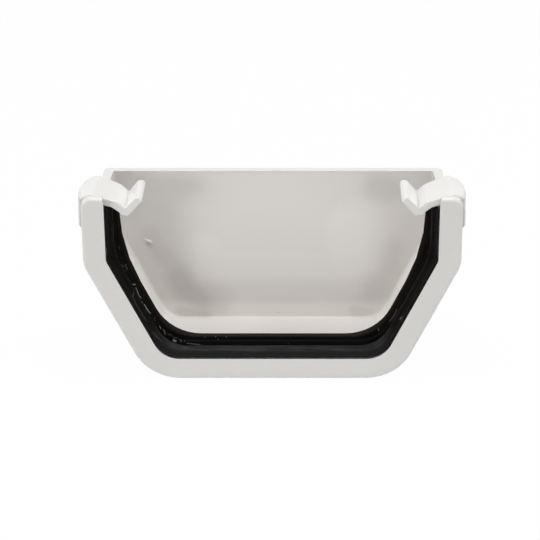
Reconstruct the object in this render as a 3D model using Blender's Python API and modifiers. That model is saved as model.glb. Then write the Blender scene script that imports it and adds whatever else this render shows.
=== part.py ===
"""Stop end for a square-line rain gutter: a moulded socket, its lip seal and two retaining clips.

The origin is the middle of the socket's inner back face, where the gutter's cut end stops.
+X runs across the gutter, +Y from the open mouth to the back wall, and +Z is up.
"""

import math

import bmesh
import bpy

MM = 0.001

# Socket, the space that takes the end of the gutter, measured between the walls at the mouth
SOCKET_WIDTH = 120.0 * MM
SOCKET_HEIGHT = 61.1 * MM       # floor to rim
SOCKET_DEPTH = 34.0 * MM        # face of the flange to the seat on the back wall
FLOOR_WIDTH = 81.4 * MM         # between the feet of the slopes, before their rounding
KNEE_HEIGHT = 39.4 * MM         # floor to the knee, where a slope turns upright
FLOOR_RADIUS = 10.0 * MM
KNEE_RADIUS = 2.0 * MM
DRAFT = 0.5 * MM                # how far each side of the socket closes in by the back
SEAT_FILLET = 0.8 * MM          # between the seat and the walls round it

# Shell
WALL = 3.0 * MM
BACK_WALL = 3.0 * MM
BACK_RADIUS = 2.5 * MM          # round the outside of the back wall
EDGE_ROUND = 0.35 * MM          # small rounding of the sharp edges

# Flange round the mouth
FLANGE_WIDTH = 8.4 * MM
FLANGE_THICKNESS = 3.0 * MM
FLANGE_RISE = 2.7 * MM          # how far its arms stand above the rim
FLANGE_ROUND = 1.2 * MM         # outer edge of its face
FLANGE_SHOULDER = 3.6 * MM      # outer corner of each arm
MOUTH_ROUND = 0.5 * MM          # inner edge of its face

# Seal
GAP = 0.3 * MM                  # between pieces that touch
SEAL_START = 0.6 * MM           # face of the flange to the seal
SEAL_SIDE_SWELL = 0.5 * MM      # how much further its lip stands out on the upright walls
LIP_FLOOR_RADIUS = 19.0 * MM    # along the lip's crest, above the socket's floor corners
LIP_KNEE_RADIUS = 70.0 * MM     # along the lip's crest, above the knees

# Retaining clips: crown and leg
CLIP_WIDTH = 17.1 * MM          # along the gutter
CLIP_THICKNESS = 2.5 * MM
CLIP_PROUD = 1.2 * MM           # its leg outside the flange, seen from the front
CLIP_RISE = 0.2 * MM            # its crown at the clip's front above the flange's arms
BACK_RISE = 1.5 * MM            # how much higher the crown is at the clip's back
CLIP_EDGE = 0.4 * MM            # rounding of the strip's edges
CROWN_REACH = 4.3 * MM          # wall's inner face out to the crown
CROWN_RADIUS = 5.0 * MM
FRONT_SHOULDER = 1.0 * MM       # rounding of the outer corner at the clip's front
BACK_SHOULDER = 3.0 * MM        # and at its back
FRONT_FALL = 0.1 * MM           # crown to that corner at the clip's front
BACK_FALL = 4.0 * MM            # and at its back
LEG_DROP = 11.1 * MM            # rim to the underside of the hook
HOOK_HEIGHT = 2.6 * MM
HOOK_REACH = 2.75 * MM          # how far the hook turns in under the lug
HOOK_CHAMFER = 2.0 * MM         # outer corner of the hook

# Retaining clips: the arm inside the socket, from the wall's inner face and from the rim
CLIP_SEAT_DROP = 1.4 * MM       # underside above the wall's inner edge
ARM_ROOT_REACH = 1.9 * MM       # where the underside rises again, outside that edge
ARM_ROOT_RISE = 0.3 * MM
ARM_STEP_REACH = 2.5 * MM       # where the underside turns down to the nose
ARM_STEP_DROP = 2.0 * MM
ARM_BEND_REACH = 4.7 * MM       # where the top turns down to the hollow
ARM_BEND_RISE = 0.15 * MM
ARM_BEND_RADIUS = 2.0 * MM
NOSE_HEEL_REACH = 5.2 * MM      # where the nose begins below the arm
NOSE_HEEL_DROP = 4.0 * MM
NOSE_REACH = 7.4 * MM           # hollow above the nose
NOSE_DROP = 2.3 * MM
NOSE_THICKNESS = 3.1 * MM       # hollow to the nose's underside
NOSE_FLAT = 2.9 * MM            # width of that underside
NOSE_SHARE = 0.65               # how much of it lies on the wall's side of the hollow
NOSE_TILT = 0.4 * MM            # how far it falls towards the tab
TAB_REACH = 13.7 * MM           # finger tab's tip
TAB_RISE = 1.9 * MM
TAB_TOP = 2.6 * MM              # tip to the far side of the tab's top
TAB_TIP = 1.3 * MM              # height of its slanted end
TAB_SLANT = 0.9 * MM            # how far that end leans back
TAB_ROUND = 1.2 * MM            # far side of the tab's top
TAB_END_ROUND = 1.0 * MM        # edge between its end and the clip's front
HOLLOW_RADIUS = 0.3 * MM        # between the tab and the arm
ARM_RADIUS = 0.6 * MM           # rounding of the small corners
TAB_END = 12                    # place of the tab's end among the sides of the clip's outline

# Lug outside each wall, which the clip's hook holds
LUG_HEIGHT = 3.0 * MM           # at its outer edge
LUG_RAMP = 2.2 * MM             # extra height at the wall
LUG_SETBACK = 1.2 * MM          # its ends in from the clip's edges

# Fineness of the arcs
ARC_STEP = math.radians(9.0)
EDGE_STEPS = 4
CLIP_ARC_STEPS = 4
CLIP_FRONT_STEPS = 4
CLIP_EDGE_STEPS = 2
CLIP_SPANS = 5                  # lengths of the clip between its rounded edges
SMALLEST_RADIUS = 0.05 * MM
ARC_ROOM = 0.98                 # share of a side that the arcs at its two ends may take
ROUNDING_SLACK = 1e-6

# Places that follow from the sizes
FLOOR = -SOCKET_HEIGHT / 2
RIM = SOCKET_HEIGHT / 2
MOUTH = -SOCKET_DEPTH
FLANGE_BACK = MOUTH + FLANGE_THICKNESS
FLANGE_TOP = RIM + FLANGE_RISE
WALL_FACE = SOCKET_WIDTH / 2
WALL_OUTSIDE = WALL_FACE + WALL
LEAN = (SOCKET_WIDTH - FLOOR_WIDTH) / 2 / KNEE_HEIGHT
CLIP_FRONT = FLANGE_BACK + GAP
CLIP_BACK = CLIP_FRONT + CLIP_WIDTH
CLIP_TOP = FLANGE_TOP + CLIP_RISE
LEG_OUTSIDE = WALL_FACE + FLANGE_WIDTH + CLIP_PROUD
LEG_INSIDE = LEG_OUTSIDE - CLIP_THICKNESS
HOOK_UNDERSIDE = RIM - LEG_DROP
HOOK_TOP = HOOK_UNDERSIDE + HOOK_HEIGHT
CLIP_SEAT = RIM - CLIP_SEAT_DROP
WALL_SEAT = CLIP_SEAT - GAP
ARM_STEP = WALL_FACE - ARM_STEP_REACH
ARM_STEP_LEVEL = RIM - ARM_STEP_DROP
NOSE_HEEL = WALL_FACE - NOSE_HEEL_REACH
NOSE_HEEL_LEVEL = RIM - NOSE_HEEL_DROP

# The seal's section: distance from the flange's face, and height above the socket's wall
SEAL_SECTION = [
    (SEAL_START, GAP),
    (SEAL_START, 0.6 * MM),
    (1.2 * MM, 0.85 * MM),
    (1.9 * MM, 0.8 * MM),
    (2.5 * MM, 0.9 * MM),
    (3.0 * MM, 1.3 * MM),
    (3.9 * MM, 1.85 * MM),
    (5.1 * MM, 2.2 * MM),
    (6.3 * MM, 2.2 * MM),
    (7.2 * MM, 1.8 * MM),
    (7.8 * MM, 1.1 * MM),
    (8.8 * MM, 0.9 * MM),
    (9.9 * MM, 1.5 * MM),
    (10.9 * MM, 2.2 * MM),
    (11.3 * MM, 2.25 * MM),
    (12.6 * MM, 2.9 * MM),
    (13.6 * MM, 3.4 * MM),
    (14.1 * MM, 3.35 * MM),
    (14.4 * MM, 2.9 * MM),
    (14.2 * MM, 1.6 * MM),
    (14.8 * MM, GAP),
]
LIP_HEIGHT = max(height for _, height in SEAL_SECTION)


def direction(start, end):
    """Unit vector between two corners, and the distance between them."""
    reach = math.hypot(end[0] - start[0], end[1] - start[1])
    return ((end[0] - start[0]) / reach, (end[1] - start[1]) / reach), reach


def rounded(corners, closed=True, steps=None):
    """Points of an outline whose corners (x, z, radius) are rounded by arcs, of so many steps if that is given."""
    count = len(corners)
    turns = []
    tangents = []
    for i, corner in enumerate(corners):
        one, _ = direction(corner, corners[i - 1])
        two, _ = direction(corner, corners[(i + 1) % count])
        turn = math.pi - math.acos(max(-1.0, min(1.0, one[0] * two[0] + one[1] * two[1])))
        sharp = corner[2] <= 0 or (not closed and i in (0, count - 1))
        turns.append(turn)
        tangents.append(0.0 if sharp else corner[2] * math.tan(turn / 2))
    wanted = list(tangents)
    for i in range(count if closed else count - 1):
        j = (i + 1) % count
        _, reach = direction(corners[i], corners[j])
        total = wanted[i] + wanted[j]
        if total > ARC_ROOM * reach:
            tangents[i] = min(tangents[i], wanted[i] / total * ARC_ROOM * reach)
            tangents[j] = min(tangents[j], wanted[j] / total * ARC_ROOM * reach)
    points = []
    for i, (x, z, _) in enumerate(corners):
        if tangents[i] <= 0:
            points.append((x, z))
            continue
        one, _ = direction(corners[i], corners[i - 1])
        two, _ = direction(corners[i], corners[(i + 1) % count])
        tangent = tangents[i]
        middle = tangent / math.sin(turns[i] / 2)
        bisector, _ = direction((0.0, 0.0), (one[0] + two[0], one[1] + two[1]))
        centre = (x + bisector[0] * middle, z + bisector[1] * middle)
        start = (x + one[0] * tangent - centre[0], z + one[1] * tangent - centre[1])
        side = 1.0 if one[0] * two[1] - one[1] * two[0] < 0 else -1.0
        pieces = steps or max(2, math.ceil(turns[i] / ARC_STEP - ROUNDING_SLACK))
        for step in range(pieces + 1):
            angle = side * turns[i] * step / pieces
            c = math.cos(angle)
            s = math.sin(angle)
            points.append((centre[0] + start[0] * c - start[1] * s, centre[1] + start[0] * s + start[1] * c))
    return points


def inset(corners, distances):
    """The corners (x, z, radius) of a closed outline, with the side after each corner moved in by its distance."""
    count = len(corners)
    area = sum(a[0] * b[1] - b[0] * a[1] for a, b in zip(corners, corners[1:] + corners[:1]))
    way = 1.0 if area > 0 else -1.0
    moved = []
    for i, (x, z, radius) in enumerate(corners):
        one, _ = direction(corners[i - 1], corners[i])
        two, _ = direction(corners[i], corners[(i + 1) % count])
        before = distances[i - 1]
        after = distances[i]
        turn = way * (one[0] * two[1] - one[1] * two[0])
        x += (before * two[0] - after * one[0]) / turn
        z += (before * two[1] - after * one[1]) / turn
        radius -= math.copysign((before + after) / 2, turn)
        moved.append((x, z, max(SMALLEST_RADIUS, radius)))
    return moved


def trough(inset, top, top_radius=0.0, side_extra=0.0, knee_radius=None, floor_radius=None):
    """Corners of the socket's section with every side moved in by inset, from top right round to top left."""
    side = WALL_FACE - inset - side_extra
    shift = inset * math.hypot(1.0, LEAN)
    knee = FLOOR + (side + shift - FLOOR_WIDTH / 2) / LEAN
    foot = FLOOR_WIDTH / 2 + LEAN * inset - shift
    knee_radius = KNEE_RADIUS - inset if knee_radius is None else knee_radius
    floor_radius = FLOOR_RADIUS - inset if floor_radius is None else floor_radius
    right = [(side, top, top_radius), (side, knee, knee_radius), (foot, FLOOR + inset, floor_radius)]
    return right + [(-x, z, radius) for x, z, radius in reversed(right)]


def loft(name, sections):
    """A closed solid through sections that hold the same number of points."""
    bm = bmesh.new()
    rings = [[bm.verts.new(point) for point in section] for section in sections]
    for ring, following in zip(rings, rings[1:]):
        for i in range(len(ring)):
            j = (i + 1) % len(ring)
            bm.faces.new((ring[i], ring[j], following[j], following[i]))
    bm.faces.new(rings[0])
    bm.faces.new(rings[-1])
    bmesh.ops.recalc_face_normals(bm, faces=bm.faces)
    mesh = bpy.data.meshes.new(name)
    bm.to_mesh(mesh)
    bm.free()
    return bpy.data.objects.new(name, mesh)


def at_depth(y, corners):
    return [(x, y, z) for x, z in rounded(corners)]


def quarter(radius, steps=EDGE_STEPS):
    """Pairs (along, in) of a quarter round: in falls from radius to 0 as along grows from 0 to radius."""
    pairs = []
    for step in range(steps + 1):
        angle = math.pi / 2 * step / steps
        pairs.append((radius * (1 - math.cos(angle)), radius * (1 - math.sin(angle))))
    return pairs


def drawn_in(along, radius):
    """How far a side lies in, beside an edge of that radius, at the distance along from the end."""
    rest = max(0.0, radius - along)
    return radius - math.sqrt(radius * radius - rest * rest)


def draft_at(y):
    """How far the socket's sides have closed in at the depth y."""
    return DRAFT * max(0.0, (y - MOUTH) / SOCKET_DEPTH)


def plate(name, points, front, back):
    """A flat outline in XZ, as thick as front to back."""
    curve = bpy.data.curves.new(name, "CURVE")
    curve.dimensions = "2D"
    curve.fill_mode = "BOTH"
    curve.extrude = (back - front) / 2
    spline = curve.splines.new("POLY")
    spline.points.add(len(points) - 1)
    for point, (x, z) in zip(spline.points, points):
        point.co = (x, z, 0.0, 1.0)
    spline.use_cyclic_u = True
    drawn = bpy.data.objects.new(name, curve)
    drawn.location = (0.0, (front + back) / 2, 0.0)
    drawn.rotation_euler = (math.pi / 2, 0.0, 0.0)
    return curve_to_mesh(drawn)


def curve_to_mesh(drawn):
    """The curve object made a mesh object, with its caps welded on."""
    name = drawn.name
    bpy.context.scene.collection.objects.link(drawn)
    bpy.context.view_layer.update()
    evaluated = drawn.evaluated_get(bpy.context.evaluated_depsgraph_get())
    mesh = bpy.data.meshes.new_from_object(evaluated)
    bm = bmesh.new()
    bm.from_mesh(mesh)
    bmesh.ops.remove_doubles(bm, verts=bm.verts, dist=0.001 * MM)
    bmesh.ops.recalc_face_normals(bm, faces=bm.faces)
    bm.to_mesh(mesh)
    bm.free()
    solid = bpy.data.objects.new(name + "_mesh", mesh)
    solid.matrix_world = drawn.matrix_world
    bpy.data.objects.remove(drawn)
    return solid


def block(name, low, high):
    """A box between two corners."""
    bm = bmesh.new()
    bmesh.ops.create_cube(bm, size=1.0)
    for vertex in bm.verts:
        vertex.co = [a + (c + 0.5) * (b - a) for a, b, c in zip(low, high, vertex.co)]
    mesh = bpy.data.meshes.new(name)
    bm.to_mesh(mesh)
    bm.free()
    return bpy.data.objects.new(name, mesh)


def combine(target, tool, operation, cutters):
    """Adds a Boolean modifier to target and keeps the tool out of the render."""
    cutters.objects.link(tool)
    tool.hide_render = True
    tool.display_type = "WIRE"
    modifier = target.modifiers.new(tool.name, "BOOLEAN")
    modifier.operation = operation
    modifier.object = tool
    modifier.solver = "EXACT"


def plastic(name, color, roughness):
    material = bpy.data.materials.new(name)
    material.use_nodes = True
    shader = material.node_tree.nodes["Principled BSDF"]
    shader.inputs["Base Color"].default_value = (*color, 1.0)
    shader.inputs["Roughness"].default_value = roughness
    shader.inputs["Metallic"].default_value = 0.0
    material.diffuse_color = (*color, 1.0)
    return material


def make_shell():
    """Outside of the socket as a solid, from the flange to the rounded edge of the back wall."""
    sections = [at_depth(MOUTH + FLANGE_THICKNESS / 2, trough(-WALL, RIM))]
    for along, inward in reversed(quarter(BACK_RADIUS)):
        sections.append(at_depth(BACK_WALL - along, trough(inward - WALL, RIM)))
    return loft("body", sections)


def make_flange():
    """The flange as a solid plate with a rounded front edge."""
    sections = []
    for along, inward in quarter(FLANGE_ROUND):
        corners = trough(inward - FLANGE_WIDTH, FLANGE_TOP - inward, FLANGE_SHOULDER - inward)
        sections.append(at_depth(MOUTH + along, corners))
    sections.append(at_depth(FLANGE_BACK, trough(-FLANGE_WIDTH, FLANGE_TOP, FLANGE_SHOULDER)))
    return loft("flange", sections)


def make_cavity():
    """The space inside the socket, open at the mouth and above the rim, with a rounded mouth and seat."""
    above = FLANGE_TOP + WALL
    sections = [at_depth(MOUTH - WALL, trough(-MOUTH_ROUND, above))]
    for along, inward in quarter(MOUTH_ROUND):
        sections.append(at_depth(MOUTH + along, trough(inward - MOUTH_ROUND, above)))
    for along, inward in reversed(quarter(SEAT_FILLET)):
        y = -along
        sections.append(at_depth(y, trough(draft_at(y) + inward, above)))
    return loft("cavity", sections)


def make_body(parts, cutters):
    body = make_shell()
    combine(body, make_flange(), "UNION", cutters)
    for side in (-1, 1):
        combine(body, make_lug(side), "UNION", cutters)
    combine(body, make_cavity(), "DIFFERENCE", cutters)
    for side in (-1, 1):
        combine(body, make_clip_seat(side), "DIFFERENCE", cutters)
    rounding = body.modifiers.new("edges", "BEVEL")
    rounding.width = EDGE_ROUND
    rounding.segments = 2
    rounding.limit_method = "ANGLE"
    rounding.angle_limit = math.radians(50.0)
    body.data.materials.append(plastic("white_plastic", (0.80, 0.80, 0.78), 0.35))
    parts.objects.link(body)
    return body


def make_lug(side):
    """The ledge outside one wall that the clip's hook holds from below."""
    outer = LEG_INSIDE - GAP
    inner = WALL_OUTSIDE - WALL / 2
    low = HOOK_TOP + GAP
    points = [
        (inner, low),
        (outer, low),
        (outer, low + LUG_HEIGHT),
        (WALL_OUTSIDE, low + LUG_HEIGHT + LUG_RAMP),
        (inner, low + LUG_HEIGHT + LUG_RAMP),
    ]
    name = "lug_right" if side > 0 else "lug_left"
    points = [(side * x, z) for x, z in points]
    return plate(name, points, CLIP_FRONT + LUG_SETBACK, CLIP_BACK - LUG_SETBACK)


def make_clip_seat(side):
    """What is cut from the rim under one clip, so that the clip can't slide along the gutter."""
    near = WALL_FACE - WALL
    far = WALL_OUTSIDE + WALL
    low_x, high_x = sorted((side * near, side * far))
    name = "clip_seat_right" if side > 0 else "clip_seat_left"
    return block(name, (low_x, FLANGE_BACK, WALL_SEAT), (high_x, CLIP_BACK + GAP, FLANGE_TOP + WALL))


def clip_corners(side, y):
    """The clip's outline at the depth y, up its leg's inside from the hook, in along the arm and back outside."""
    along = (y - CLIP_FRONT) / CLIP_WIDTH
    crown = CLIP_TOP + BACK_RISE * along * (2.0 - along)
    fall = FRONT_FALL + (BACK_FALL - FRONT_FALL) * along * along
    shoulder = FRONT_SHOULDER + (BACK_SHOULDER - FRONT_SHOULDER) * along * along
    nose = WALL_FACE - NOSE_REACH
    hollow = RIM - NOSE_DROP
    nose_low = hollow - NOSE_THICKNESS
    tip = WALL_FACE - TAB_REACH
    tab = RIM + TAB_RISE
    hook_tip = LEG_INSIDE - HOOK_REACH
    corners = [
        (LEG_OUTSIDE, HOOK_UNDERSIDE + HOOK_CHAMFER, ARM_RADIUS),
        (LEG_OUTSIDE - HOOK_CHAMFER, HOOK_UNDERSIDE, ARM_RADIUS),
        (hook_tip, HOOK_UNDERSIDE, ARM_RADIUS),
        (hook_tip, HOOK_TOP, ARM_RADIUS),
        (LEG_INSIDE, HOOK_TOP, ARM_RADIUS),
        (LEG_INSIDE, crown - CLIP_THICKNESS - fall, ARM_RADIUS),
        (WALL_FACE + ARM_ROOT_REACH, RIM + ARM_ROOT_RISE, ARM_RADIUS),
        (WALL_FACE, CLIP_SEAT, ARM_RADIUS),
        (ARM_STEP, ARM_STEP_LEVEL, ARM_RADIUS),
        (NOSE_HEEL, NOSE_HEEL_LEVEL, ARM_RADIUS),
        (nose + NOSE_FLAT * NOSE_SHARE, nose_low + NOSE_TILT, ARM_RADIUS),
        (nose - NOSE_FLAT * (1.0 - NOSE_SHARE), nose_low, ARM_RADIUS),
        (tip, tab - TAB_TIP, ARM_RADIUS),
        (tip + TAB_SLANT, tab, ARM_RADIUS),
        (tip + TAB_TOP, tab, TAB_ROUND),
        (nose, hollow, HOLLOW_RADIUS),
        (WALL_FACE - ARM_BEND_REACH, RIM + ARM_BEND_RISE, ARM_BEND_RADIUS),
        (WALL_FACE + CROWN_REACH, crown, CROWN_RADIUS),
        (LEG_OUTSIDE, crown - fall, shoulder),
    ]
    return [(side * x, z, radius) for x, z, radius in corners]


def clip_section(side, y):
    """The clip's outline at the depth y, drawn in where its edges at the front and at the back are rounded."""
    corners = clip_corners(side, y)
    front = [CLIP_EDGE] * len(corners)
    front[TAB_END] = TAB_END_ROUND
    back = drawn_in(CLIP_BACK - y, CLIP_EDGE)
    insets = [max(back, drawn_in(y - CLIP_FRONT, radius)) for radius in front]
    return [(x, y, z) for x, z in rounded(inset(corners, insets), steps=CLIP_ARC_STEPS)]


def make_clip(side, parts, material):
    """A clip as a loft from its front to its back."""
    depths = [CLIP_FRONT + along for along, _ in quarter(TAB_END_ROUND, CLIP_FRONT_STEPS)]
    middle = CLIP_WIDTH - TAB_END_ROUND - CLIP_EDGE
    depths += [depths[-1] + middle * span / CLIP_SPANS for span in range(1, CLIP_SPANS)]
    depths += [CLIP_BACK - along for along, _ in reversed(quarter(CLIP_EDGE, CLIP_EDGE_STEPS))]
    sections = [clip_section(side, y) for y in depths]
    clip = loft("clip_right" if side > 0 else "clip_left", sections)
    clip.data.materials.append(material)
    parts.objects.link(clip)
    return clip


def clip_underside(x):
    """Height of the clip's underside above the seal, and its slope, at x inside the right-hand wall."""
    near, far = ((WALL_FACE, CLIP_SEAT), (ARM_STEP, ARM_STEP_LEVEL))
    if x < ARM_STEP:
        near, far = far, (NOSE_HEEL, NOSE_HEEL_LEVEL)
    slope = (near[1] - far[1]) / (near[0] - far[0])
    return far[1] + (x - far[0]) * slope, slope


def seal_line(distance, height):
    """One line along the seal, from its right end down, across the floor and up to its left end."""
    y = MOUTH + distance
    soft = max(0.0, (height - GAP) / (LIP_HEIGHT - GAP))
    swell = SEAL_SIDE_SWELL * soft
    level, slope = clip_underside(WALL_FACE - height - draft_at(y) - swell)
    corners = trough(
        height + draft_at(y),
        level - GAP * math.hypot(1.0, slope),
        side_extra=swell,
        knee_radius=KNEE_RADIUS + (LIP_KNEE_RADIUS - KNEE_RADIUS) * soft * soft,
        floor_radius=FLOOR_RADIUS - height + (LIP_FLOOR_RADIUS + LIP_HEIGHT - FLOOR_RADIUS) * soft * soft,
    )
    return [(x, y, z) for x, z in rounded(corners, closed=False)]


def make_seal(parts):
    lines = [seal_line(distance, height) for distance, height in SEAL_SECTION]
    seal = loft("seal", list(zip(*lines)))
    seal.data.materials.append(plastic("black_rubber", (0.02, 0.02, 0.02), 0.45))
    parts.objects.link(seal)
    return seal


def main():
    for stale in list(bpy.data.objects):
        bpy.data.objects.remove(stale)
    parts = bpy.data.collections.new("gutter_stop_end")
    cutters = bpy.data.collections.new("cutters")
    bpy.context.scene.collection.children.link(parts)
    bpy.context.scene.collection.children.link(cutters)
    cutters.hide_render = True
    make_body(parts, cutters)
    make_seal(parts)
    clip_plastic = plastic("clip_plastic", (0.84, 0.84, 0.82), 0.35)
    for side in (-1, 1):
        make_clip(side, parts, clip_plastic)


main()
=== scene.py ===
"""Gutter stop end: smooth dressed meshes, materials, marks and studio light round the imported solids."""
import math
import bmesh
import bpy
from mathutils import Matrix, Vector
from mathutils.bvhtree import BVHTree


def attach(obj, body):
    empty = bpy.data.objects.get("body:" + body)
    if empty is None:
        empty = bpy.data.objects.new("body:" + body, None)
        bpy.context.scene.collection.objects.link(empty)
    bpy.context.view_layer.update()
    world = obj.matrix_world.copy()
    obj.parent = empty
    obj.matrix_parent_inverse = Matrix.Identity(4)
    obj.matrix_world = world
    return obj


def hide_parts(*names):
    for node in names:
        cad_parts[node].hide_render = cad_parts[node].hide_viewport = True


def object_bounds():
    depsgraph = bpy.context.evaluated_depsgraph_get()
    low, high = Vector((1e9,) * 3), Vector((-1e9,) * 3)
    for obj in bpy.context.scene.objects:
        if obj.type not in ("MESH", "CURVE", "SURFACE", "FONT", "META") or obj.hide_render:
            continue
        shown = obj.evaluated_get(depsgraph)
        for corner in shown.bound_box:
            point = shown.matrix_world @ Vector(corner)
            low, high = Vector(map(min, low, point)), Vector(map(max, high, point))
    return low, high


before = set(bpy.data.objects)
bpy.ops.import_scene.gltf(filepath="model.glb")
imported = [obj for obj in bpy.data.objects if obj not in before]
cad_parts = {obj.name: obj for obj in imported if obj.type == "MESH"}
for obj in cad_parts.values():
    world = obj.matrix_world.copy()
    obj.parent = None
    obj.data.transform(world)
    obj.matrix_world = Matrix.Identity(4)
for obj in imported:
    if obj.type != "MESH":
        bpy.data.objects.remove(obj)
cad_low, cad_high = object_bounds()

MM = 0.001
IMAGE_SIDE = 540

# Camera fitted to the photograph: metres, degrees up from straight down, and pixels of the photograph
CAMERA_PLACE = (0.01293, -0.68392, 0.30168)
CAMERA_TILT = 65.5
CAMERA_FOCAL_PIXELS = 1974.87
CAMERA_SHIFT_PIXELS = -38.0
SENSOR = 36.0

# Studio: a weak world that is seen as white, a pale ground and six soft lamps
BACKGROUND_COLOUR = (1.0, 1.0, 1.0, 1.0)
WORLD_LIGHT = 0.03
WORLD_TINT = (1.0, 0.995, 0.985, 1.0)
GROUND_COLOUR = (0.86, 0.86, 0.86, 1.0)
GROUND_GLOW = 0.98
GROUND_SIDE = 8.0
LAMP_DISTANCE = 1.0
LAMPS = (
    # name, watts, side in metres, degrees round from the front to the right, degrees above the horizon
    ("front_left", 1.70, 0.22, -39.0, 10.0),
    ("front_right", 1.05, 0.40, 30.0, 10.0),
    ("overhead", 4.8, 0.60, 0.0, 77.0),
    ("left_side", 2.6, 0.50, -85.0, 35.0),
    ("right_side", 2.9, 0.50, 85.0, 42.0),
    ("rear", 2.05, 0.60, 180.0, 70.0),
)

# Dressed meshes: points closer than this are one, and an edge sharper than this stays crisp
WELD = 1e-6
SMOOTH_ANGLE = math.radians(42.0)

# Share of a mark's radius that keeps its full strength
MARK_CORE = 0.3

# The two inputs and the result of a Mix node by number, because those for numbers and colours share names
MIX_NUMBERS = (2, 3, 0)
MIX_COLOURS = (6, 7, 2)

# White plastic of the body and the clips: two close tones mixed by faint clouds, and a fine skin
BODY_PALE = (0.804, 0.785, 0.760)
BODY_DEEP = (0.795, 0.774, 0.748)
CLIP_PALE = (0.840, 0.827, 0.806)
CLIP_DEEP = (0.830, 0.816, 0.795)
CLOUD_SCALE = 42.0
CLOUD_DETAIL = 3.0
CLOUD_ROUGHNESS = 0.55
CLOUD_RANGE = (0.35, 0.65)
SKIN_SCALE = 900.0
SKIN_RANGE = (0.3, 0.7)
SKIN_STRENGTH = 0.05
SKIN_HEIGHT = 0.00003
PLASTIC_ROUGHNESS = (0.18, 0.26)
IOR = 1.5

# Rubber of the seal: black, grey on its band with a painted sheen, and browner on its lip, which is paler
# there with a painted highlight
RUBBER = (0.0018, 0.0016, 0.0016)
WALL_RUBBER = (0.0056, 0.0049, 0.0046)
SHEEN_RUBBER = (0.045, 0.045, 0.045)
LIP_BROWN_AND_HIGHLIGHT = (0.027, 0.0215, 0.0186)
RUBBER_GLOSS = 0.008
RUBBER_ROUGHNESS = (0.26, 0.42)
# Colour of the seal's dust, chips and scratches, and of its painted highlight
DUST_AND_HIGHLIGHT = (0.55, 0.54, 0.53)

# Streaks along the seal: their noise, the part of it that counts, and their height
STREAK_SCALE = (90.0, 1500.0, 90.0)
STREAK_DETAIL = 3.0
STREAK_ROUGHNESS = 0.6
STREAK_RANGE = (0.35, 0.65)
STREAK_GLOSS_RANGE = (0.35, 0.68)
STREAK_STRENGTH = 0.25
STREAK_HEIGHT = 0.00005

# Painted sheen of the seal, which greys it: shares on the broad band, on the front bead and up the walls,
# and where each begins
BAND_LEAST = 0.30
BAND_MOST = 0.95
BEAD_SHEEN = 0.34
BEAD_WALL_SHEEN = 0.10
WALL_SHEEN = 0.04
FLOOR_END = -27.5 * MM
WALL_START = -18.0 * MM
BAND_END = -26.6 * MM
HOLLOW_START = -24.8 * MM
BEAD_START = -31.05 * MM
BEAD_BLEND = 0.7 * MM

# Lip of the seal: its brown rear edge, paler with a painted highlight, and the fine ridge before it, with a
# fainter painted highlight
LIP_START = -21.9 * MM
LIP_END = -21.0 * MM
LIP_WALL_SHARE = 0.4
RIDGE_AT = -23.3 * MM
RIDGE_HALF = 0.35 * MM
RIDGE_HIGHLIGHT = 0.38

# Surfaces inside the socket: those that face its middle, told by how far it lies along their normal
SOCKET_MIDDLE = (0.0, -17.0 * MM, 0.0)
INSIDE_FACING = (-6.0 * MM, -2.0 * MM)

# Inside of the socket: painted light, paler towards the back, in the middle of the back wall and along its
# foot, and a warmer tint of painted bounce light on the back wall
INNER_WHITE = (0.965, 0.93, 0.885)
BACK_WHITE = (0.797, 0.762, 0.728)
WALL_DEPTH = -0.6 * MM
RIM_LEVEL = 30.4 * MM
STRIP_PALE = 0.66
STRIP_TOP = -21.5 * MM
STRIP_FULL = -25.0 * MM
MIDDLE = (0.0, 0.0, 8.0 * MM)
MIDDLE_REACH = 52.0 * MM
MIDDLE_PALE = 0.44
FLOOR_PALE = 0.55
FLOOR_FRONT = -9.5 * MM
FLOOR_BACK = -0.8 * MM
FLOOR_LEVEL = -29.5 * MM
SIDE_PALE = 0.55
SIDE_FRONT = -22.0 * MM
SIDE_START = -19.0 * MM
SIDE_FULL = 5.0 * MM
SIDE_TOP = 20.0 * MM

# Finger tab: its slope and its end are paler, painted light that stands for light passing through the plastic
# there
TAB_PAINTED_LIGHT = (1.0, 0.99, 0.97)
TAB_PALE = 0.7
TAB_LIMIT = 52.5 * MM
TAB_FADE = 51.0 * MM
TAB_FACING = (0.022, 0.034)
TAB_END_FACING = (-0.040, -0.030)
TAB_END_PALE = 0.8

# Crease between the tab and the arm: painted shade, a little darker than the slopes on either side of it
CREASE_SHADE = (0.55, 0.54, 0.53)
LEFT_CREASE = 0.16
RIGHT_CREASE = 0.40
CREASE_ACROSS = 52.6 * MM
CREASE_UP = 28.4 * MM
CREASE_REACH = 0.6 * MM
CREASE_FRONT = -36.0 * MM
CREASE_BACK = -10.0 * MM

# Groove between each leg and the flange's side: a painted shadow on the leg's front edge
GROOVE_SHADE = (0.30, 0.29, 0.28)
GROOVE_DEPTH = 0.45
GROOVE_START = 67.0 * MM
GROOVE_INNER = 68.8 * MM
GROOVE_OUTER = 69.3 * MM
GROOVE_FRONT = -30.6 * MM
GROOVE_BACK = -29.9 * MM
GROOVE_TOP = 32.6 * MM

# Outer corner of each clip's front: rounded towards a point inside the corner
CORNER_ACROSS = 66.4 * MM
CORNER_UP = 30.0 * MM
CORNER_ROUND = 3.2 * MM
CORNER_GROWTH = 0.6
CORNER_INNER = 63.2 * MM
CORNER_EASE = 2.0 * MM
FRONT_ROUND = 1.1 * MM

# Marks: radius in millimetres, strength, and the line or the spot in pixels of the photograph
# Colour of the dark speck, and of the painted shade and painted shadow on the back wall
DIRT_AND_SHADE = (0.16, 0.14, 0.12)
WALL_MARKS = {
    "speck": (0.22, 0.8, ((278.4, 312.4),)),
    # Painted shadow of the nick on the wall below it
    "nick_shadow": (0.85, 0.34, ((147.9, 243.5),)),
    "nick_shadow_tail": (1.4, 0.10, ((148.5, 245.0), (149.8, 246.6))),
}
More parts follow.
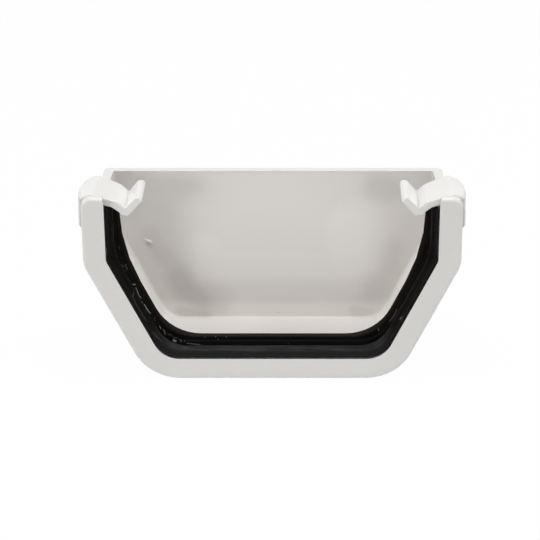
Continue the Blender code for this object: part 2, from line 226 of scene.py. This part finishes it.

# Soft painted shades and painted pale patches of light on the back wall, given in the same way
PAINTED_WALL_SHADES = {
    "left_shade": (4.5, 0.08, ((151.0, 233.0), (160.0, 252.0))),
    "slope_shade": (5.5, 0.10, ((160.0, 252.0), (176.0, 270.0))),
    "corner_shade": (7.0, 0.18, ((178.0, 276.0), (186.0, 289.0))),
    "foot_shade": (7.5, 0.16, ((186.0, 290.0), (201.0, 300.0))),
    "foot_fade": (8.0, 0.08, ((201.0, 298.0), (220.0, 296.0))),
    "foot_end_shade": (4.0, 0.14, ((182.0, 312.0), (205.0, 314.0))),
    "right_shade": (6.0, 0.07, ((393.0, 248.0), (388.0, 268.0))),
    "right_foot_shade": (8.0, 0.09, ((376.0, 286.0), (373.0, 308.0))),
    "right_corner_shade": (4.0, 0.13, ((356.0, 311.0), (370.0, 313.0))),
    "top_right_shade": (8.0, 0.12, ((378.0, 187.0), (390.0, 190.0))),
}
PAINTED_LIGHT_PATCHES = {
    "low_patch": (14.0, 0.54, ((207.0, 248.0), (210.0, 264.0), (346.0, 264.0))),
    "right_patch": (19.0, 0.60, ((347.0, 226.0), (347.0, 260.0))),
}

# Dust, chips and scratches of the seal, a pale streak, and a painted highlight along the front of its left
# slope, given in the same way
SEAL_MARKS = {
    "scratch_top": (0.17, 0.60, ((135.9, 287.7), (137.4, 291.2), (139.0, 295.4),
                                 (140.9, 297.8), (141.7, 302.4))),
    "scratch_end": (0.19, 0.65, ((141.7, 302.4), (144.4, 304.4), (146.8, 308.7),
                                 (148.3, 311.0), (150.3, 313.3))),
    "scratch_spur": (0.20, 0.20, ((133.9, 292.4), (132.6, 296.2))),
    # Painted highlight along the front bead of the left slope
    "front_highlight": (0.35, 0.06, ((132.6, 296.2), (136.6, 305.1), (141.4, 313.4), (146.2, 320.2))),
    "scratch_tail": (0.25, 0.06, ((153.9, 318.0), (155.3, 320.6))),
    "chip": (0.26, 0.30, ((159.6, 326.2), (160.8, 328.6))),
    "chip_tail": (0.22, 0.26, ((163.4, 329.8), (164.6, 331.8), (165.1, 334.0))),
    "crest_curl": (0.20, 0.13, ((169.0, 334.6), (170.6, 334.4), (172.0, 335.4))),
    "front_hair": (0.20, 0.12, ((152.6, 332.0), (155.0, 334.8), (158.6, 338.8))),
    "big_flake": (0.44, 0.46, ((173.6, 340.4), (175.6, 341.2))),
    "flake_rim": (0.20, 0.12, ((173.6, 338.4), (175.0, 337.4), (176.6, 337.8))),
    "ring": (0.18, 0.16, ((179.6, 340.4), (180.6, 339.6), (181.6, 340.6), (180.8, 341.8))),
    "ring_spot": (0.26, 0.22, ((184.4, 341.3),)),
    "corner_streak": (0.30, 0.12, ((187.0, 343.2), (194.0, 344.0), (199.8, 344.8))),
    "front_blotch": (0.60, 0.05, ((184.0, 347.0), (186.6, 347.4))),
    "upright_dash": (0.24, 0.10, ((119.2, 246.6), (119.6, 249.0))),
    "upright_tick": (0.22, 0.08, ((116.6, 254.8), (118.2, 256.6))),
    "upright_spot": (0.26, 0.16, ((121.5, 257.8),)),
    "upright_flake": (0.40, 0.07, ((121.6, 265.0), (124.0, 266.8))),
    "knee_scratch": (0.25, 0.26, ((125.6, 264.6), (127.3, 268.9))),
    "knee_tick": (0.20, 0.08, ((124.4, 270.7), (126.2, 270.6))),
    "slope_flake": (0.36, 0.34, ((133.2, 284.5), (135.2, 284.5))),
    "crest_spot_1": (0.28, 0.16, ((205.0, 337.3),)),
    "crest_spot_2": (0.28, 0.22, ((215.6, 336.9),)),
    "crest_spot_3": (0.28, 0.2, ((218.2, 339.3),)),
    "crest_spot_4": (0.26, 0.24, ((226.3, 336.9),)),
    "bead_spot": (0.24, 0.14, ((246.1, 354.4),)),
    "hollow_spot": (0.22, 0.12, ((288.7, 343.2),)),
    "band_spot": (0.20, 0.10, ((248.9, 347.0),)),
    "right_pale_streak": (0.45, 0.07, ((396.5, 310.0), (394.8, 314.5), (390.0, 321.0))),
    "right_flake": (0.36, 0.22, ((400.2, 319.0), (402.0, 317.2))),
    "right_tick": (0.20, 0.10, ((402.6, 319.6), (401.6, 320.8))),
    "right_chip": (0.30, 0.14, ((378.3, 328.6), (378.7, 330.4))),
    "right_spot": (0.22, 0.08, ((427.0, 242.7),)),
}

# Nick: a flake of plastic on the back wall, sharp along its lower edge.
# Its places are across, out of the wall and up, in millimetres.
NICK_TAIL = (-49.9, 0.0, 3.6)
NICK_NECK = (-47.9, 0.0, 2.75)
NICK_TOP = (-46.05, 0.0, 2.6)
NICK_FOOT = (-46.0, 0.0, 1.3)
NICK_BELLY = (-47.5, 0.0, 2.0)
NICK_CREST = (-47.5, 0.7, 2.3)
NICK_END = (-46.05, 0.65, 1.5)
NICK_ROOT = 0.1


def material(name):
    """An empty node material: its tree, its shader and the object coordinates in it."""
    made = bpy.data.materials.new(name)
    made.use_nodes = True
    tree = made.node_tree
    shader = tree.nodes["Principled BSDF"]
    place = tree.nodes.new("ShaderNodeTexCoord").outputs["Object"]
    return made, tree, shader, place


def scaled(tree, vector, scale):
    """The coordinates, each stretched by its own factor."""
    made = tree.nodes.new("ShaderNodeMapping")
    made.inputs["Scale"].default_value = scale
    tree.links.new(vector, made.inputs["Vector"])
    return made.outputs["Vector"]


def noise(tree, vector, scale, detail=2.0, roughness=0.5):
    made = tree.nodes.new("ShaderNodeTexNoise")
    made.inputs["Scale"].default_value = scale
    made.inputs["Detail"].default_value = detail
    made.inputs["Roughness"].default_value = roughness
    tree.links.new(vector, made.inputs["Vector"])
    return made.outputs["Fac"]


def spread(tree, value, low, high, to_low, to_high):
    """The value carried from one range to another, held at its ends."""
    made = tree.nodes.new("ShaderNodeMapRange")
    for name, number in (("From Min", low), ("From Max", high), ("To Min", to_low), ("To Max", to_high)):
        made.inputs[name].default_value = number
    tree.links.new(value, made.inputs["Value"])
    return made.outputs["Result"]


def blend(tree, factor, first, second):
    """A colour between two others, each a socket or a plain colour."""
    made = tree.nodes.new("ShaderNodeMix")
    made.data_type = "RGBA"
    tree.links.new(factor, made.inputs["Factor"])
    first_socket, second_socket, result = MIX_COLOURS
    for number, colour in ((first_socket, first), (second_socket, second)):
        if isinstance(colour, tuple):
            made.inputs[number].default_value = (*colour, 1.0)
        else:
            tree.links.new(colour, made.inputs[number])
    return made.outputs[result]


def bump(tree, shader, height, strength, distance):
    made = tree.nodes.new("ShaderNodeBump")
    made.inputs["Strength"].default_value = strength
    made.inputs["Distance"].default_value = distance
    tree.links.new(height, made.inputs["Height"])
    tree.links.new(made.outputs["Normal"], shader.inputs["Normal"])


def product(tree, first, second):
    """Two values multiplied; the second may be a plain number."""
    made = tree.nodes.new("ShaderNodeMath")
    made.operation = "MULTIPLY"
    tree.links.new(first, made.inputs[0])
    if isinstance(second, float):
        made.inputs[1].default_value = second
    else:
        tree.links.new(second, made.inputs[1])
    return made.outputs[0]


def depth_and_height(tree, place):
    parted = tree.nodes.new("ShaderNodeSeparateXYZ")
    tree.links.new(place, parted.inputs[0])
    return parted.outputs["Y"], parted.outputs["Z"]


def larger(tree, first, second):
    made = tree.nodes.new("ShaderNodeMath")
    made.operation = "MAXIMUM"
    tree.links.new(first, made.inputs[0])
    tree.links.new(second, made.inputs[1])
    return made.outputs[0]


def mark(tree, place, start, end, radius, strength):
    """A soft-edged spot, or a soft-edged line between two points, as a value that fades to 0."""
    away = tree.nodes.new("ShaderNodeVectorMath")
    away.operation = "SUBTRACT"
    tree.links.new(place, away.inputs[0])
    away.inputs[1].default_value = start
    offset = away.outputs[0]
    along = Vector(end) - Vector(start)
    if along.length > 0.0:
        share = tree.nodes.new("ShaderNodeVectorMath")
        share.operation = "DOT_PRODUCT"
        tree.links.new(offset, share.inputs[0])
        share.inputs[1].default_value = along / along.length_squared
        held = tree.nodes.new("ShaderNodeClamp")
        tree.links.new(share.outputs["Value"], held.inputs["Value"])
        foot = tree.nodes.new("ShaderNodeVectorMath")
        foot.operation = "SCALE"
        foot.inputs[0].default_value = along
        tree.links.new(held.outputs[0], foot.inputs["Scale"])
        rest = tree.nodes.new("ShaderNodeVectorMath")
        rest.operation = "SUBTRACT"
        tree.links.new(offset, rest.inputs[0])
        tree.links.new(foot.outputs[0], rest.inputs[1])
        offset = rest.outputs[0]
    far = tree.nodes.new("ShaderNodeVectorMath")
    far.operation = "LENGTH"
    tree.links.new(offset, far.inputs[0])
    return spread(tree, far.outputs["Value"], radius * MARK_CORE, radius, strength, 0.0)


def pixel_ray(pixel):
    """Direction of the camera's ray through a pixel of the photograph."""
    across = pixel[0] - IMAGE_SIDE / 2 + CAMERA_SHIFT_PIXELS
    up = IMAGE_SIDE / 2 - pixel[1]
    tilt = Matrix.Rotation(math.radians(CAMERA_TILT), 3, "X")
    return tilt @ Vector((across, up, -CAMERA_FOCAL_PIXELS)).normalized()


def marks(tree, place, node, lines):
    """The strongest of a set of marks at each point of a CAD node's surface."""
    surface = BVHTree.FromObject(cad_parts[node], bpy.context.evaluated_depsgraph_get())
    value = None
    for radius, strength, pixels in lines.values():
        points = [surface.ray_cast(Vector(CAMERA_PLACE), pixel_ray(pixel))[0] for pixel in pixels]
        for start, end in zip(points, points[1:] or points):
            found = mark(tree, place, start, end, radius * MM, strength)
            value = larger(tree, value, found) if value else found
    return value


def inside_share(tree, place):
    """1 on the surfaces that face the middle of the socket, and 0 on those that face away from it."""
    outward = tree.nodes.new("ShaderNodeVectorMath")
    outward.operation = "SUBTRACT"
    tree.links.new(place, outward.inputs[0])
    outward.inputs[1].default_value = SOCKET_MIDDLE
    facing = tree.nodes.new("ShaderNodeVectorMath")
    facing.operation = "DOT_PRODUCT"
    tree.links.new(outward.outputs[0], facing.inputs[0])
    tree.links.new(tree.nodes.new("ShaderNodeNewGeometry").outputs["Normal"], facing.inputs[1])
    return spread(tree, facing.outputs["Value"], *INSIDE_FACING, 1.0, 0.0)


def side_paleness(tree, depth, height):
    """How much painted light the floor and the sides of the socket get: most at the back, and less near the
    rim.
    """
    on_floor = spread(tree, height, FLOOR_LEVEL, FLOOR_LEVEL + MM, 1.0, 0.0)
    above_floor = spread(tree, height, FLOOR_LEVEL, FLOOR_LEVEL + MM, 0.0, 1.0)
    floor = product(tree, spread(tree, depth, FLOOR_FRONT, FLOOR_BACK, 0.0, FLOOR_PALE), on_floor)
    sides = product(tree, spread(tree, depth, SIDE_FRONT, SIDE_START, 0.0, SIDE_PALE), above_floor)
    below = spread(tree, height, SIDE_FULL, SIDE_TOP, 1.0, 0.0)
    return product(tree, larger(tree, floor, sides), below)


def inner_shades(tree, place, colour):
    """The body's colour: warmer with painted bounce light on the back wall, painted light and shade inside,
    its speck and the nick's painted shadow.
    """
    depth, height = depth_and_height(tree, place)
    under_rim = spread(tree, height, RIM_LEVEL - MM, RIM_LEVEL, 1.0, 0.0)
    at_wall = product(tree, spread(tree, depth, WALL_DEPTH - MM, WALL_DEPTH, 0.0, 1.0), under_rim)
    off_wall = spread(tree, depth, WALL_DEPTH - MM, WALL_DEPTH, 1.0, 0.0)
    # Painted bounce light warms the back wall; painted light pales the back, middle, foot, floor and sides;
    # painted shade darkens places
    warm = blend(tree, at_wall, colour, BACK_WHITE)
    strip = spread(tree, height, STRIP_TOP, STRIP_FULL, 0.0, STRIP_PALE)
    middle = mark(tree, place, MIDDLE, MIDDLE, MIDDLE_REACH, MIDDLE_PALE)
    on_wall = product(tree, larger(tree, strip, middle), at_wall)
    on_side = product(tree, side_paleness(tree, depth, height), off_wall)
    patches = product(tree, marks(tree, place, "body", PAINTED_LIGHT_PATCHES), at_wall)
    paler = blend(tree, larger(tree, larger(tree, on_wall, on_side), patches), warm, INNER_WHITE)
    shades = product(tree, marks(tree, place, "body", PAINTED_WALL_SHADES), at_wall)
    shaded = blend(tree, shades, paler, DIRT_AND_SHADE)
    placed = blend(tree, inside_share(tree, place), colour, shaded)
    return blend(tree, marks(tree, place, "body", WALL_MARKS), placed, DIRT_AND_SHADE)


def across_part(tree, first, second):
    """The product of two vectors' parts across."""
    multiplied = tree.nodes.new("ShaderNodeVectorMath")
    multiplied.operation = "MULTIPLY"
    tree.links.new(first, multiplied.inputs[0])
    tree.links.new(second, multiplied.inputs[1])
    parted = tree.nodes.new("ShaderNodeSeparateXYZ")
    tree.links.new(multiplied.outputs[0], parted.inputs[0])
    return parted.outputs["X"]


def groove_share(tree, place, reach):
    """How dark the painted shadow is in the groove between the clip's leg and the flange's side."""
    depth, height = depth_and_height(tree, place)
    on_leg = spread(tree, reach, GROOVE_START ** 2, GROOVE_INNER ** 2, 0.0, 1.0)
    inside = spread(tree, reach, GROOVE_INNER ** 2, GROOVE_OUTER ** 2, GROOVE_DEPTH, 0.0)
    at_front = spread(tree, depth, GROOVE_FRONT, GROOVE_BACK, 1.0, 0.0)
    under = spread(tree, height, GROOVE_TOP - MM, GROOVE_TOP, 1.0, 0.0)
    return product(tree, product(tree, inside, on_leg), product(tree, at_front, under))


def crease_share(tree, place):
    """How dark the painted shade is in the crease between tab and arm, on the left clip and on the right one.
    """
    creases = None
    for across, strength in ((-CREASE_ACROSS, LEFT_CREASE), (CREASE_ACROSS, RIGHT_CREASE)):
        start = (across, CREASE_FRONT, CREASE_UP)
        end = (across, CREASE_BACK, CREASE_UP)
        found = mark(tree, place, start, end, CREASE_REACH, strength)
        creases = larger(tree, creases, found) if creases else found
    return creases


def clip_shades(tree, place, colour):
    """The clip's colour: painted light on the tab, painted shade in its crease and a painted shadow in the
    groove beside the flange.
    """
    normal = tree.nodes.new("ShaderNodeNewGeometry").outputs["Normal"]
    outward = across_part(tree, place, normal)
    reach = across_part(tree, place, place)
    on_slope = spread(tree, outward, *TAB_FACING, 0.0, TAB_PALE)
    on_end = spread(tree, outward, *TAB_END_FACING, TAB_END_PALE, 0.0)
    on_tab = spread(tree, reach, TAB_FADE ** 2, TAB_LIMIT ** 2, 1.0, 0.0)
    # Painted light on the tab's slope and end
    lit = blend(tree, product(tree, larger(tree, on_slope, on_end), on_tab), colour, TAB_PAINTED_LIGHT)
    groove = groove_share(tree, place, reach)
    creased = blend(tree, crease_share(tree, place), lit, CREASE_SHADE)
    return blend(tree, groove, creased, GROOVE_SHADE)


def moulded_plastic(name, pale, deep, shades):
    """White moulded plastic: faint clouds, the painted light and shade of its own piece, a fine skin and a
    soft gloss.
    """
    made, tree, shader, place = material(name)
    cloud = noise(tree, place, CLOUD_SCALE, CLOUD_DETAIL, CLOUD_ROUGHNESS)
    clouded = blend(tree, spread(tree, cloud, *CLOUD_RANGE, 0.0, 1.0), deep, pale)
    tree.links.new(shades(tree, place, clouded), shader.inputs["Base Color"])
    skin = noise(tree, place, SKIN_SCALE)
    tree.links.new(spread(tree, skin, *SKIN_RANGE, *PLASTIC_ROUGHNESS), shader.inputs["Roughness"])
    shader.inputs["IOR"].default_value = IOR
    bump(tree, shader, skin, SKIN_STRENGTH, SKIN_HEIGHT)
    return made


def sheen_share(tree, place, streaks):
    """How much painted sheen greys the seal: most on the band along the floor, less on its bead and up the
    walls.
    """
    depth, height = depth_and_height(tree, place)
    low = spread(tree, height, FLOOR_END, WALL_START, 1.0, WALL_SHEEN)
    before_hollow = spread(tree, depth, BAND_END, HOLLOW_START, 1.0, 0.0)
    patches = spread(tree, streaks, *STREAK_RANGE, BAND_LEAST, BAND_MOST)
    on_band = product(tree, product(tree, low, before_hollow), patches)
    bead_share = spread(tree, height, FLOOR_END, WALL_START, BEAD_SHEEN, BEAD_WALL_SHEEN)
    behind_bead = spread(tree, depth, BEAD_START, BEAD_START + BEAD_BLEND, 0.0, 1.0)
    first_socket, second_socket, result = MIX_NUMBERS
    made = tree.nodes.new("ShaderNodeMix")
    tree.links.new(behind_bead, made.inputs["Factor"])
    tree.links.new(bead_share, made.inputs[first_socket])
    tree.links.new(on_band, made.inputs[second_socket])
    return made.outputs[result]


def lip_share(tree, place):
    """How brown the seal is, with its painted highlight: fully on its rear edge, a little along the ridge,
    less up the walls.
    """
    depth, height = depth_and_height(tree, place)
    edge = spread(tree, depth, LIP_START, LIP_END, 0.0, 1.0)
    up = spread(tree, depth, RIDGE_AT - RIDGE_HALF, RIDGE_AT, 0.0, RIDGE_HIGHLIGHT)
    down = spread(tree, depth, RIDGE_AT, RIDGE_AT + RIDGE_HALF, 1.0, 0.0)
    ridge = product(tree, up, down)
    low = spread(tree, height, FLOOR_END, WALL_START, 1.0, LIP_WALL_SHARE)
    return product(tree, larger(tree, edge, ridge), low)


def rubber(name):
    """Black rubber: brown lip with a painted highlight, grey band with a painted sheen, streaks, dust specks
    and scratches.
    """
    made, tree, shader, place = material(name)
    along = scaled(tree, place, STREAK_SCALE)
    streaks = noise(tree, along, 1.0, STREAK_DETAIL, STREAK_ROUGHNESS)
    height = depth_and_height(tree, place)[1]
    plain = blend(tree, spread(tree, height, FLOOR_END, WALL_START, 0.0, 1.0), RUBBER, WALL_RUBBER)
    # Painted sheen greys the band; the lip is brown and paler with a painted highlight
    sheened = blend(tree, sheen_share(tree, place, streaks), plain, SHEEN_RUBBER)
    bare = blend(tree, lip_share(tree, place), sheened, LIP_BROWN_AND_HIGHLIGHT)
    colour = blend(tree, marks(tree, place, "seal", SEAL_MARKS), bare, DUST_AND_HIGHLIGHT)
    tree.links.new(colour, shader.inputs["Base Color"])
    tree.links.new(spread(tree, streaks, *STREAK_GLOSS_RANGE, *RUBBER_ROUGHNESS), shader.inputs["Roughness"])
    shader.inputs["IOR"].default_value = IOR
    shader.inputs["Specular IOR Level"].default_value = RUBBER_GLOSS
    bump(tree, shader, streaks, STREAK_STRENGTH, STREAK_HEIGHT)
    return made


def round_front(shape):
    """Draws a clip's outer surface in towards its front, most at the corner between crown and leg."""
    front = min(vert.co.y for vert in shape.verts)
    for vert in shape.verts:
        deep = vert.co.y - front
        side = math.copysign(1.0, vert.co.x)
        across = max(0.0, abs(vert.co.x) - CORNER_ACROSS)
        up = max(0.0, vert.co.z - CORNER_UP)
        reach = math.hypot(across, up)
        short = max(0.0, FRONT_ROUND - deep)
        drawn = FRONT_ROUND - math.sqrt(FRONT_ROUND ** 2 - short ** 2)
        inner = (CORNER_ACROSS - abs(vert.co.x)) / (CORNER_ACROSS - CORNER_INNER)
        ease = CORNER_EASE * min(1.0, max(0.0, inner))
        limit = CORNER_ROUND + CORNER_GROWTH * deep - drawn + ease
        if reach > limit:
            vert.co.x -= side * across * (1.0 - limit / reach)
            vert.co.z -= up * (1.0 - limit / reach)


def dressed(node, look):
    """A welded copy of a CAD node with smooth rounds and crisp corners, which stands for the node."""
    shape = bmesh.new()
    shape.from_mesh(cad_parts[node].data)
    bmesh.ops.remove_doubles(shape, verts=shape.verts, dist=WELD)
    if node.startswith("clip"):
        round_front(shape)
    bmesh.ops.recalc_face_normals(shape, faces=shape.faces)
    for face in shape.faces:
        face.smooth = True
    for edge in shape.edges:
        edge.smooth = len(edge.link_faces) == 2 and edge.calc_face_angle() < SMOOTH_ANGLE
    data = bpy.data.meshes.new(f"{node}_dressed")
    shape.to_mesh(data)
    shape.free()
    data.materials.append(look)
    piece = bpy.data.objects.new(f"{node}_dressed", data)
    bpy.context.scene.collection.objects.link(piece)
    normals = piece.modifiers.new("normals", "WEIGHTED_NORMAL")
    normals.keep_sharp = True
    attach(piece, "root")
    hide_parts(node)


def make_nick(look):
    """The flake that stands out on the back wall inside the socket, with its sharp side down."""
    shape = bmesh.new()
    outline = [NICK_TAIL, NICK_NECK, NICK_TOP, NICK_FOOT, NICK_BELLY]
    places = [(x * MM, NICK_ROOT * MM, z * MM) for x, _, z in outline]
    places += [(x * MM, -out * MM, z * MM) for x, out, z in (NICK_CREST, NICK_END)]
    tail, neck, top, foot, belly, crest, end = [shape.verts.new(place) for place in places]
    for corners in ((tail, neck, crest), (neck, top, crest), (top, end, crest), (top, foot, end),
                    (foot, belly, end), (belly, crest, end), (belly, tail, crest),
                    (tail, belly, neck), (neck, belly, top), (belly, foot, top)):
        shape.faces.new(corners)
    bmesh.ops.recalc_face_normals(shape, faces=shape.faces)
    data = bpy.data.meshes.new("wall_nick")
    shape.to_mesh(data)
    shape.free()
    data.materials.append(look)
    piece = bpy.data.objects.new("wall_nick", data)
    bpy.context.scene.collection.objects.link(piece)
    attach(piece, "root")


def light_path(tree):
    """1 for the rays that show the background: camera, glossy and transmission rays."""
    path = tree.nodes.new("ShaderNodeLightPath")
    value = path.outputs["Is Camera Ray"]
    for name in ("Is Glossy Ray", "Is Transmission Ray"):
        value = larger(tree, value, path.outputs[name])
    return value


def make_world():
    world = bpy.data.worlds.new("studio")
    world.use_nodes = True
    tree = world.node_tree
    lit = tree.nodes["Background"]
    lit.inputs["Color"].default_value = WORLD_TINT
    lit.inputs["Strength"].default_value = WORLD_LIGHT
    seen = tree.nodes.new("ShaderNodeBackground")
    seen.inputs["Color"].default_value = BACKGROUND_COLOUR
    seen.inputs["Strength"].default_value = 1.0
    mixed = tree.nodes.new("ShaderNodeMixShader")
    tree.links.new(light_path(tree), mixed.inputs["Fac"])
    tree.links.new(lit.outputs[0], mixed.inputs[1])
    tree.links.new(seen.outputs[0], mixed.inputs[2])
    tree.links.new(mixed.outputs[0], tree.nodes["World Output"].inputs["Surface"])
    bpy.context.scene.world = world


def make_floor():
    """A plain pale floor under the flange, which looks white and keeps a faint shadow."""
    made, tree, shader, _ = material("floor")
    shader.inputs["Base Color"].default_value = GROUND_COLOUR
    shader.inputs["Roughness"].default_value = 1.0
    shader.inputs["Specular IOR Level"].default_value = 0.0
    glow = tree.nodes.new("ShaderNodeEmission")
    glow.inputs["Strength"].default_value = 1.0
    share = product(tree, light_path(tree), GROUND_GLOW)
    mixed = tree.nodes.new("ShaderNodeMixShader")
    tree.links.new(share, mixed.inputs["Fac"])
    tree.links.new(shader.outputs[0], mixed.inputs[1])
    tree.links.new(glow.outputs[0], mixed.inputs[2])
    tree.links.new(mixed.outputs[0], tree.nodes["Material Output"].inputs["Surface"])
    bpy.ops.mesh.primitive_plane_add(size=GROUND_SIDE, location=(0.0, 0.0, cad_low.z))
    floor = bpy.context.active_object
    floor.name = "floor"
    floor.data.materials.append(made)


def make_lights():
    for name, power, side, azimuth, elevation in LAMPS:
        data = bpy.data.lights.new(name, "AREA")
        data.energy = power
        data.size = side
        lamp = bpy.data.objects.new(name, data)
        turn, rise = math.radians(azimuth), math.radians(elevation)
        away = Vector((math.sin(turn) * math.cos(rise), -math.cos(turn) * math.cos(rise), math.sin(rise)))
        lamp.location = away * LAMP_DISTANCE
        lamp.rotation_euler = (-away).to_track_quat("-Z", "Y").to_euler()
        bpy.context.scene.collection.objects.link(lamp)


def make_camera():
    data = bpy.data.cameras.new("camera")
    data.sensor_width = SENSOR
    data.lens = CAMERA_FOCAL_PIXELS / IMAGE_SIDE * SENSOR
    data.shift_x = CAMERA_SHIFT_PIXELS / IMAGE_SIDE
    camera = bpy.data.objects.new("camera", data)
    camera.location = CAMERA_PLACE
    camera.rotation_euler = (math.radians(CAMERA_TILT), 0.0, 0.0)
    bpy.context.scene.collection.objects.link(camera)
    bpy.context.scene.camera = camera


white = moulded_plastic("white_moulded_plastic", BODY_PALE, BODY_DEEP, inner_shades)
clip_white = moulded_plastic("clip_moulded_plastic", CLIP_PALE, CLIP_DEEP, clip_shades)
black = rubber("black_rubber_strip")

dressed("body", white)
dressed("clip_left", clip_white)
dressed("clip_right", clip_white)
dressed("seal", black)
make_nick(white)

make_world()
make_floor()
make_lights()
make_camera()
bpy.context.scene.view_settings.view_transform = "Standard"
